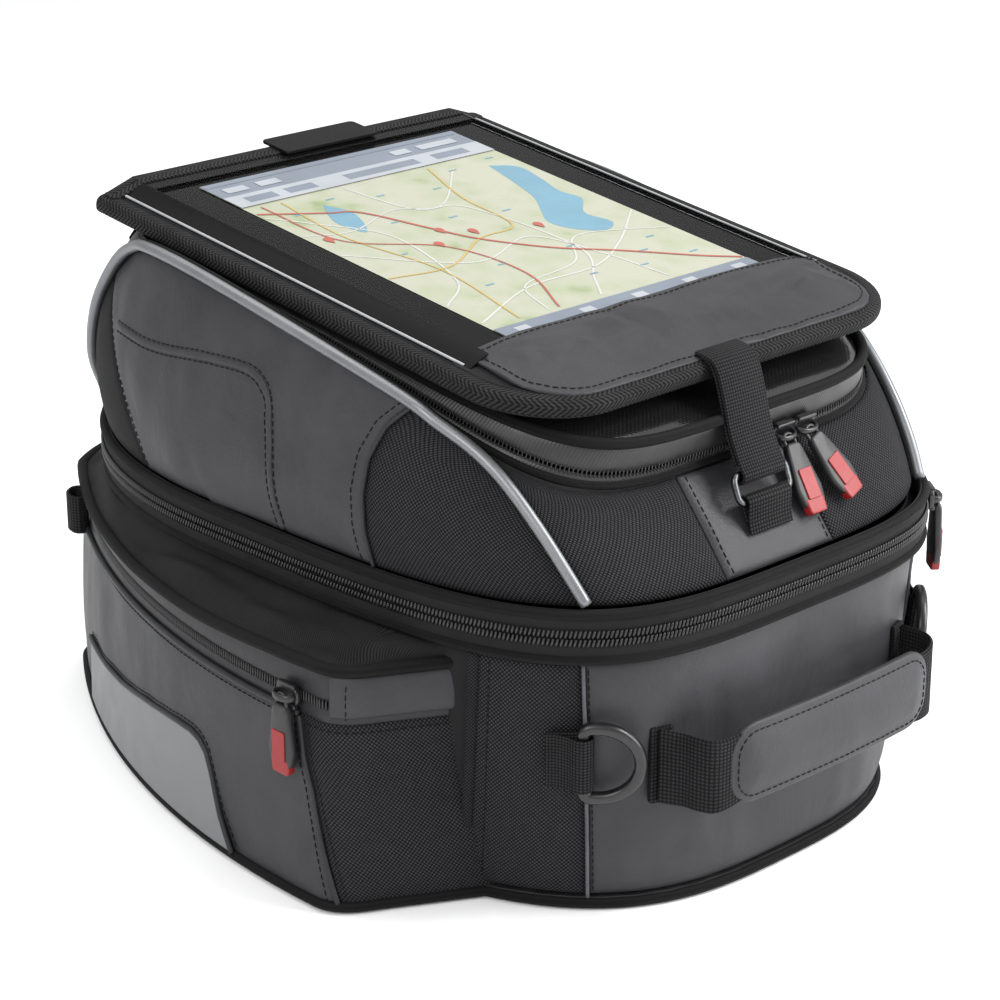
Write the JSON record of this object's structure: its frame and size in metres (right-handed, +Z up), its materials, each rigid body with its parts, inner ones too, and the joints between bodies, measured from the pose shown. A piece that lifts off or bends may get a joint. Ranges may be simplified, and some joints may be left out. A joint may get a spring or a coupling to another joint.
{
  "type": "tank bag",
  "caption": "Expandable motorcycle tank bag with a hinged zip lid, a map flap holding a tablet, side pockets, a grab handle and a lock recess in its base.",
  "frame": {"origin": "middle of the flat base, on the surface it rests on", "axes": "+X to the rider's right, +Y forwards along the motorcycle, +Z up"},
  "size_m": [0.3424, 0.4013, 0.2501],
  "materials": {
    "leather": "grained coated fabric, satin",
    "ballistic": "coarse ballistic weave",
    "twill": "fine twill",
    "webbing": "woven webbing and binding",
    "reflective": "retroreflective grey",
    "black_plastic": "moulded, satin",
    "metal": "dark grey",
    "gloss_film": "glossy black film",
    "window": "clear flexible film",
    "red_plastic": "moulded red",
    "tablet_black": "black glass front"
  },
  "bodies": {
    "lower_body": {"base_tray": "black_plastic", "base_board": "black_plastic", "lock_housing": "black_plastic", "lower_front_panel": "twill", "lower_left_panel": "leather", "lower_rear_panel": "leather", "lower_right_panel": "leather", "waist_tape_lower": "twill", "expansion_gusset": "ballistic", "left_pocket": "leather", "right_pocket": "leather", "left_pocket_zip": "twill", "right_pocket_zip": "twill", "handle_patch_left": "webbing", "handle_patch_right": "webbing", "d_ring_tab_left": "webbing", "d_ring_tab_right": "webbing", "front_loop_left": "webbing", "front_loop_right": "webbing"},
    "lock_latch": {"lock_latch": "red_plastic"},
    "handle": {"handle_leg_left": "webbing", "handle_leg_right": "webbing", "handle_grip": "leather"},
    "d_ring_left": {"d_ring_left": "black_plastic"},
    "d_ring_right": {"d_ring_right": "black_plastic"},
    "left_pocket_slider": {"left_pocket_slider": "black_plastic"},
    "left_pocket_pull": {"left_pocket_pull": "black_plastic"},
    "right_pocket_slider": {"right_pocket_slider": "black_plastic"},
    "right_pocket_pull": {"right_pocket_pull": "black_plastic"},
    "waist_slider": {"waist_slider": "black_plastic"},
    "waist_pull": {"waist_pull": "black_plastic"},
    "upper_body": {"upper_front_panel": "twill", "upper_left_panel": "leather", "upper_rear_panel": "leather", "upper_right_panel": "leather", "waist_tape_upper": "twill", "piping_left": "reflective", "piping_right": "reflective", "lid_tape_lower": "twill", "lid_hinge_strip": "twill", "closure_patch": "leather", "closure_tab": "webbing", "closure_ring": "metal"},
    "lid": {"lid_panel": "gloss_film", "lid_tape_upper": "twill"},
    "lid_left_slider": {"lid_left_slider": "black_plastic"},
    "lid_left_pull": {"lid_left_pull": "black_plastic"},
    "lid_right_slider": {"lid_right_slider": "black_plastic"},
    "lid_right_pull": {"lid_right_pull": "black_plastic"},
    "map_flap": {"flap_base": "ballistic", "flap_binding": "webbing", "flap_window": "window", "flap_trim": "leather", "closure_strap": "webbing"},
    "tablet": {"tablet": "tablet_black"},
    "front_tab": {"front_tab": "ballistic"}
  },
  "joints": [
    {"name": "lock_release", "type": "slide", "parent": "lower_body", "child": "lock_latch", "axis": [0, -1, 0], "range_m": [0, 0.005], "stiffness_N_per_m": 300},
    {"name": "handle_swing", "type": "hinge", "parent": "lower_body", "child": "handle", "pos_m": [0, -0.184, 0.066], "axis": [1, 0, 0], "range_deg": [-25, 25]},
    {"name": "d_ring_left_turn", "type": "hinge", "parent": "lower_body", "child": "d_ring_left", "pos_m": [-0.10055, -0.16553, 0.07066], "axis": [0.0697, 0.0686, -0.9952], "range_deg": [0, 150]},
    {"name": "d_ring_right_turn", "type": "hinge", "parent": "lower_body", "child": "d_ring_right", "pos_m": [0.10055, -0.16553, 0.07066], "axis": [0.0697, -0.0686, 0.9952], "range_deg": [0, 150]},
    {"name": "left_pocket_zip_run", "type": "hinge", "parent": "lower_body", "child": "left_pocket_slider", "pos_m": [0.253, -0.065, 0.0885], "axis": [0, 0, -1], "range_deg": [0, 27]},
    {"name": "left_pocket_pull_lift", "type": "hinge", "parent": "left_pocket_slider", "child": "left_pocket_pull", "pos_m": [-0.16998, -0.068, 0.0885], "axis": [0, 1, 0], "range_deg": [0, 100]},
    {"name": "right_pocket_zip_run", "type": "hinge", "parent": "lower_body", "child": "right_pocket_slider", "pos_m": [-0.253, -0.065, 0.0885], "axis": [0, 0, 1], "range_deg": [0, 27]},
    {"name": "right_pocket_pull_lift", "type": "hinge", "parent": "right_pocket_slider", "child": "right_pocket_pull", "pos_m": [0.16998, -0.068, 0.0885], "axis": [0, -1, 0], "range_deg": [0, 100]},
    {"name": "waist_zip_run", "type": "hinge", "parent": "lower_body", "child": "waist_slider", "pos_m": [0.0539, -0.1171, 0.124], "axis": [0, 0, -1], "range_deg": [0, 30]},
    {"name": "waist_pull_lift", "type": "hinge", "parent": "waist_slider", "child": "waist_pull", "pos_m": [0.11486, -0.16314, 0.124], "axis": [-0.6026, -0.798, 0], "range_deg": [0, 100]},
    {"name": "expansion_lift", "type": "slide", "parent": "lower_body", "child": "upper_body", "axis": [0, 0, 1], "range_m": [0, 0.05], "deforming": ["expansion_gusset"]},
    {"name": "lid_open", "type": "hinge", "parent": "upper_body", "child": "lid", "pos_m": [0, 0.12219, 0.23331], "axis": [-1, 0, 0], "range_deg": [0, 65]},
    {"name": "lid_right_zip_run", "type": "slide", "parent": "upper_body", "child": "lid_right_slider", "axis": [1, 0, 0], "range_m": [0, 0.03]},
    {"name": "lid_left_zip_run", "type": "slide", "parent": "upper_body", "child": "lid_left_slider", "axis": [1, 0, 0], "range_m": [0, 0.03]},
    {"name": "lid_left_pull_lift", "type": "hinge", "parent": "lid_left_slider", "child": "lid_left_pull", "pos_m": [0.018, -0.16112, 0.17419], "axis": [-1, 0, 0], "range_deg": [0, 100]},
    {"name": "lid_right_pull_lift", "type": "hinge", "parent": "lid_right_slider", "child": "lid_right_pull", "pos_m": [0.031, -0.16105, 0.17422], "axis": [-1, 0, 0], "range_deg": [0, 100]},
    {"name": "map_flap_open", "type": "hinge", "parent": "lid", "child": "map_flap", "pos_m": [0, 0.12213, 0.2338], "axis": [-1, 0, 0], "range_deg": [0, 70]},
    {"name": "tablet_slide", "type": "slide", "parent": "map_flap", "child": "tablet", "axis": [0, -0.9931, -0.117], "range_m": [-0.22, 0]},
    {"name": "front_tab_lift", "type": "hinge", "parent": "map_flap", "child": "front_tab", "pos_m": [0, 0.10697, 0.24712], "axis": [1, 0, 0], "range_deg": [0, 100]}
  ],
  "couplings": [
    {"joint": "lid_left_zip_run", "follows": "lid_right_zip_run", "ratio": 1}
  ]
}
